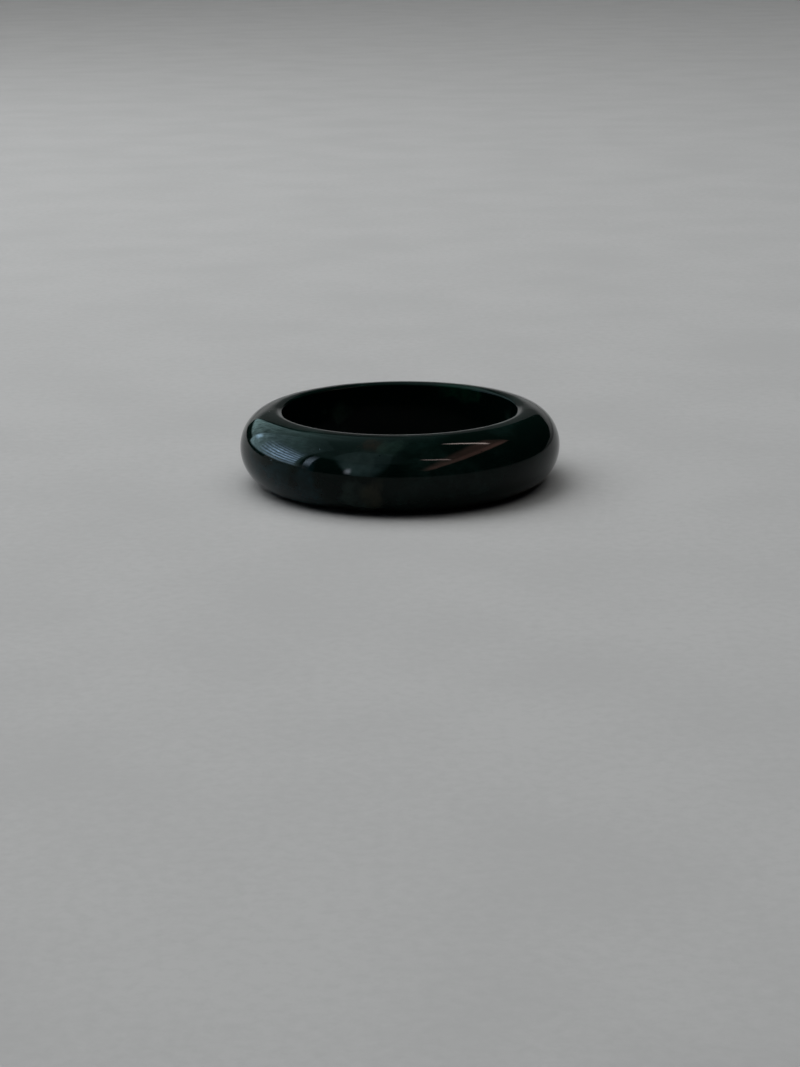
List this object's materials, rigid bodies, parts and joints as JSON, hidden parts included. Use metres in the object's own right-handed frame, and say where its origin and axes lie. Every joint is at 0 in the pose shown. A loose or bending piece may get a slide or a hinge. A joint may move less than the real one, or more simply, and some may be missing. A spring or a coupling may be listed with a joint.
{
  "type": "stackable stone ring",
  "caption": "Plain domed finger ring cut from one piece of dark green polished stone, D-shaped in section with eased bore edges, flat rims and an open finger hole.",
  "frame": {"origin": "on the ring's axis, in the plane that its lower rim rests on", "axes": "+Z along the ring's axis, out of the finger hole; the ring lies on its side and is round about Z, so X and Y are free"},
  "size_m": [0.0236, 0.0236, 0.0055],
  "materials": {
    "polished_stone": "polished"
  },
  "bodies": {
    "root": {"stone_band": "polished_stone"}
  },
  "joints": []
}
